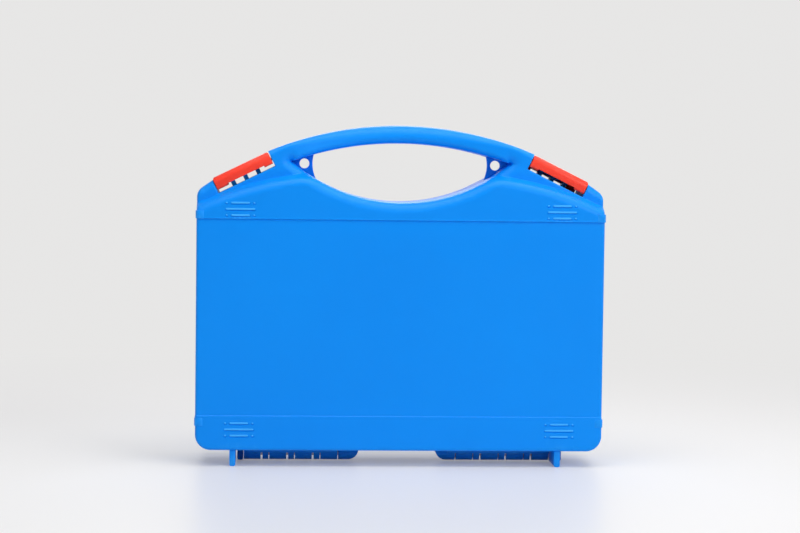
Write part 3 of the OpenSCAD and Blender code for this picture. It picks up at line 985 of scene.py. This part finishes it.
    @staticmethod
    def inside(p: Array, loops: list) -> Array:
        """Tell which points lie inside the first loop and outside the others.

        Args:
            p: Rows of x and z.
            loops: Closed loops.

        Returns:
            One truth value for each point.
        """
        odd = np.zeros(len(p), bool)
        for loop in loops:
            ax, az = loop[:, 0], loop[:, 1]
            bx, bz = np.roll(ax, -1), np.roll(az, -1)
            for i in range(len(loop)):
                cross = (az[i] > p[:, 1]) != (bz[i] > p[:, 1])
                if cross.any():
                    x = ax[i] + (p[:, 1] - az[i]) / (bz[i] - az[i] + 1e-12) * (bx[i] - ax[i])
                    odd ^= cross & (p[:, 0] < x)
        return odd

    def seam_rings(self, loop: Array, n: Array) -> list:
        """Lay rings across the seam edge, with a tongue on the left and a groove on the right.

        Args:
            loop: Points of the outer edge.
            n: Directions from them into the material.

        Returns:
            Rings of points, from the outer edge to the inner one.
        """
        left, none = loop[:, 0] < 0, np.zeros(len(loop))
        near, far, height = (np.where(left, a, b) for a, b in zip(self.tongue, self.groove))
        rings = []
        for across, y in ((none, none), (near, none), (near, height), (far, height),
                          (far, none), (none + self.wall, none)):
            flat = loop + n * across[:, None]
            rings.append(np.stack([flat[:, 0], y, flat[:, 1]], 1))
        return rings

    def mark_crown_highlight(self, obj: Piece) -> None:
        """Mark a painted highlight on the ribs' tops in a vertex attribute.

        Args:
            obj: The front moulding.
        """
        p = np.array([v.co for v in obj.data.vertices]) / MM
        # painted highlight: lighter tone on the front rib tops, standing in for the light they
        # catch
        crown_highlight = self.ribs.crown_highlight(p[:, [0, 2]]) * (p[:, 1] < 0.05 - self.depth)
        wear_and_highlight = obj.data.attributes.new(RIB_HIGHLIGHT_ATTRIBUTE, "FLOAT", "POINT")
        wear_and_highlight.data.foreach_set("value", crown_highlight.astype(np.float32))

    def build(self) -> Piece:
        """Model the front half: outer face, walls, seam edge and inner face.

        Returns:
            The moulding, open in one small spot inside each end of a notch.
        """
        loops = [self.outline.outer_loop(), self.outline.opening_loop()]
        dirs = [self.inward(loop) for loop in loops]
        inner_loops = [loop + n * self.wall for loop, n in zip(loops, dirs)]
        outer, outer_tri, outer_edge = self.face_mesh(loops, 0.0)
        inner, inner_tri, inner_edge = self.face_mesh(inner_loops, self.wall)
        points, shift = [outer, inner], len(outer)
        faces = outer_tri + [(shift + a, shift + c, shift + b) for a, b, c in inner_tri]
        total, done = shift + len(inner), 0
        for loop, n in zip(loops, dirs):
            count = len(loop)
            rings = [np.array(outer_edge[done:done + count])]
            for ring in self.seam_rings(loop, n):
                points.append(ring)
                rings.append(np.arange(total, total + count))
                total += count
            rings.append(shift + np.array(inner_edge[done:done + count]))
            done += count
            for a, b in zip(rings, rings[1:]):
                faces += np.stack([a, b, np.roll(b, -1), np.roll(a, -1)], 1).tolist()
        obj = mesh_object("front_moulding", np.concatenate(points), faces)
        edit_all(obj)
        bpy.ops.mesh.delete_loose()
        bpy.ops.mesh.select_all(action="SELECT")
        bpy.ops.mesh.normals_make_consistent(inside=False)
        bpy.ops.object.mode_set(mode="OBJECT")
        bpy.ops.object.shade_smooth_by_angle(angle=math.radians(32))
        self.mark_crown_highlight(obj)
        return obj


@dataclass
class WallStrips:
    """Raised strips round the side walls of a half."""

    depth: float = HALF_DEPTH
    wall_x: float = HALF_WIDTH
    strip_h: float = 6.4
    strip_proud: float = 0.7
    strip_z: tuple = (32.8, PANEL_TOP)
    sink: float = 1.2
    ease: float = 0.24
    wrap_len: float = 6.0
    wrap_proud: float = 0.25
    corner_r: float = 2.4

    def strip(self, side: int, z: float) -> Piece:
        """Model one raised strip round the side wall.

        Args:
            side: -1 for the left wall, 1 for the right one.
            z: Height of its lower edge.

        Returns:
            The strip.
        """
        r, inner = self.corner_r, self.wall_x - self.sink
        wall, face = self.wall_x + self.strip_proud, self.depth + self.wrap_proud
        back = self.depth - self.sink
        cx, cy = wall - r, face - r
        turn = [(cx + r * math.sin(a), cy + r * math.cos(a))
                for a in np.linspace(0, math.pi / 2, 7)]
        start = self.wall_x - self.wrap_len
        path = [(start, back), (start, self.depth - 0.1), (start + 0.5, face)] + turn
        path += [(wall, 0.4), (inner, 0.4), (inner, cy), (cx - self.sink / 2, back)]
        points = [(side * x, -y, z) for x, y in path]
        order = list(range(len(points)))
        bar = mesh_object("strip", np.array(points), [order if side > 0 else order[::-1]])
        edit_all(bar)
        up = (0, 0, self.strip_h * MM)
        bpy.ops.mesh.extrude_region_move(TRANSFORM_OT_translate={"value": up})
        bpy.ops.mesh.select_all(action="SELECT")
        bpy.ops.mesh.normals_make_consistent(inside=False)
        bpy.ops.mesh.select_mode(type="EDGE")
        bpy.ops.mesh.select_all(action="DESELECT")
        bpy.ops.object.mode_set(mode="OBJECT")
        for edge in bar.data.edges:
            a, b = (bar.data.vertices[v].co / MM for v in edge.vertices)
            outer = [side * p.x > self.wall_x or -p.y > self.depth for p in (a, b)]
            edge.select = all(outer) and abs(a.z - b.z) < 0.01
        bpy.ops.object.mode_set(mode="EDIT")
        bpy.ops.mesh.bevel(offset=self.ease * MM, segments=2, affect="EDGES")
        bpy.ops.object.mode_set(mode="OBJECT")
        return bar

    def build(self) -> Piece:
        """Model the four strips of the front half.

        Returns:
            The joined strips.
        """
        bars = [self.strip(side, z) for side in (-1, 1) for z in self.strip_z]
        strips = join(bars, "front_strips")
        bpy.ops.object.shade_smooth_by_angle(angle=math.radians(40))
        return strips


@dataclass
class CaseHalves:
    """Both halves with their strips; the rear ones are turned copies of the front ones."""

    moulding: HalfMoulding
    strips: WallStrips

    def build(self, finish: Material) -> None:
        """Build and dress both halves.

        Args:
            finish: The shell's material.
        """
        replaced = ("shell", "left_shoulder", "right_shoulder", "handle")
        for front, nodes in ((self.moulding.build(), replaced), (self.strips.build(), ())):
            dress(front, finish)
            rear = link(front.copy())
            rear.data = front.data.copy()
            rear.name = front.name.replace("front", "rear")
            rear.data.transform(Matrix.Rotation(math.pi, 4, "Z"))
            for obj, half in ((front, Half.FRONT), (rear, Half.REAR)):
                place(obj, half.body, [f"{half.value}_{node}" for node in nodes])


# smaller members

@dataclass
class EasedMembers:
    """Webs, feet, knuckles and catch ribs, each with eased edges."""

    ease: float = 0.3

    def build(self, finish: Material) -> None:
        """Build and dress all small members of both halves.

        Args:
            finish: The shell's material.
        """
        for half in Half:
            nodes = [f"{half.value}_{side.value}_{part}" for part in ("web", "foot", "knuckles")
                     for side in Side]
            nodes.append("left_catch_ribs" if half is Half.FRONT else "right_catch_ribs")
            for node in nodes:
                obj = copy_of_node(node, node + "_moulded")
                soften(obj, self.ease)
                dress(obj, finish)
                place(obj, half.body, [node])


@dataclass
class Latches:
    """The two snap latches and the steel pins."""

    line: Outline
    ease: float = 0.6
    end_gap: float = 0.25

    def shorten(self, obj: Piece) -> None:
        """Draw a latch's ends in along its notch, so that a gap shows at each end.

        Args:
            obj: The latch.
        """
        half = self.line.notch_len / 2
        slope = self.line.notch_slope
        for vertex in obj.data.vertices:
            side = 1 if vertex.co.x > 0 else -1
            u, _ = self.line.notch_frame(np.array([[vertex.co.x / MM, vertex.co.z / MM]]))
            shift = -(float(u[0]) - half) * self.end_gap / half * MM
            vertex.co.x -= side * shift * math.cos(slope)
            vertex.co.z += shift * math.sin(slope)

    def build(self, plastic: Material, steel: Material) -> None:
        """Build and dress the latches and pins.

        Args:
            plastic: The latches' material.
            steel: The pins' material.
        """
        for side in Side:
            node = f"{side.value}_latch"
            obj = copy_of_node(node, node + "_lever")
            self.shorten(obj)
            soften(obj, self.ease, 3)
            dress(obj, plastic)
            place(obj, node + "_lever", [node])
            for pin in (f"{side.value}_latch_pin", f"{side.value}_hinge_pin"):
                dress(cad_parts[pin], steel)
                LOG.info("%s: kept from the CAD", pin)


# studio

@dataclass
class Studio:
    """Round floor, pale air, lamps and camera."""

    floor_r: float = 6.0
    air: tuple = (0.80, 0.795, 0.79)
    air_light: float = 0.2
    camera_at: tuple = (-0.10541, -1.73539, 0.25135)
    yaw: float = 3.513
    pitch: float = -2.994
    roll: float = 0.706
    lens: float = 95.271

    def floor(self) -> None:
        """Lay the round floor."""
        bpy.ops.mesh.primitive_circle_add(vertices=96, radius=self.floor_r, fill_type="NGON")
        floor = bpy.context.object
        floor.name = "studio_floor"
        dress(floor, StudioFloor("studio_white", (0.81, 0.803, 0.80), (0.88, 0.872, 0.88),
                                 self.air).material())

    def lamp(self, name: str, at: tuple, aim: tuple, size: tuple, watts: float) -> None:
        """Add a soft area lamp.

        Args:
            name: Name of the lamp.
            at: Its place in metres.
            aim: Point that it faces.
            size: Width and height in metres.
            watts: Its power.
        """
        data = bpy.data.lights.new(name, "AREA")
        data.shape, data.size, data.size_y, data.energy = "RECTANGLE", size[0], size[1], watts
        lamp = link(bpy.data.objects.new(name, data))
        lamp.location = at
        lamp.rotation_euler = (Vector(aim) - Vector(at)).to_track_quat("-Z", "Y").to_euler()

    def light(self) -> None:
        """Light the case plainly from above and in front."""
        world = bpy.data.worlds.new("studio_air")
        world.use_nodes = True
        tree = world.node_tree
        lights, shows = tree.nodes["Background"], tree.nodes.new("ShaderNodeBackground")
        lights.inputs[0].default_value = (1.0, 1.0, 1.0, 1.0)
        lights.inputs[1].default_value = self.air_light
        shows.inputs[0].default_value = (*self.air, 1.0)
        either = tree.nodes.new("ShaderNodeMixShader")
        tree.links.new(seen_rays(tree), either.inputs[0])
        tree.links.new(lights.outputs[0], either.inputs[1])
        tree.links.new(shows.outputs[0], either.inputs[2])
        tree.links.new(either.outputs[0], tree.nodes["World Output"].inputs["Surface"])
        bpy.context.scene.world = world
        self.lamp("overhead", (0.1, -0.30, 1.3), (0.0, 0.0, 0.15), (1.6, 1.0), 14.2)
        self.lamp("front_right", (1.4, -1.7, 1.1), (0.0, -0.2, 0.02), (1.2, 0.9), 21.0)
        self.lamp("front_left", (-1.5, -1.7, 0.85), (0.0, -0.2, 0.05), (1.2, 0.9), 4.4)
        self.lamp("rear_fill", (0.2, 1.9, 1.3), (0.0, 0.0, 0.12), (1.4, 0.9), 13.0)

    def aim(self) -> None:
        """Add the camera and make it the scene's own."""
        data = bpy.data.cameras.new("view")
        data.lens, data.sensor_width, data.clip_end = self.lens, 36.0, 50.0
        camera = link(bpy.data.objects.new("view", data))
        camera.location = self.camera_at
        turn = Matrix.Rotation(-math.radians(self.yaw), 3, "Z")
        tilt = Matrix.Rotation(math.radians(90 + self.pitch), 3, "X")
        roll = Matrix.Rotation(math.radians(self.roll), 3, "Z")
        camera.rotation_euler = (turn @ tilt @ roll).to_euler()
        bpy.context.scene.camera = camera


def main() -> None:
    """Build everything in order and note the sizes."""
    logging.basicConfig(level=logging.INFO, format="%(name)s: %(message)s")
    bpy.context.scene.view_settings.view_transform = "Standard"
    blue, red, steel = BLUE.material(), RED.material(), STEEL.material()
    line = Outline()
    CaseHalves(HalfMoulding(line, TrimRibs()), WallStrips()).build(blue)
    EasedMembers().build(blue)
    Latches(line).build(red, steel)
    studio = Studio()
    studio.floor()
    studio.light()
    studio.aim()


if __name__ == "__main__":
    main()
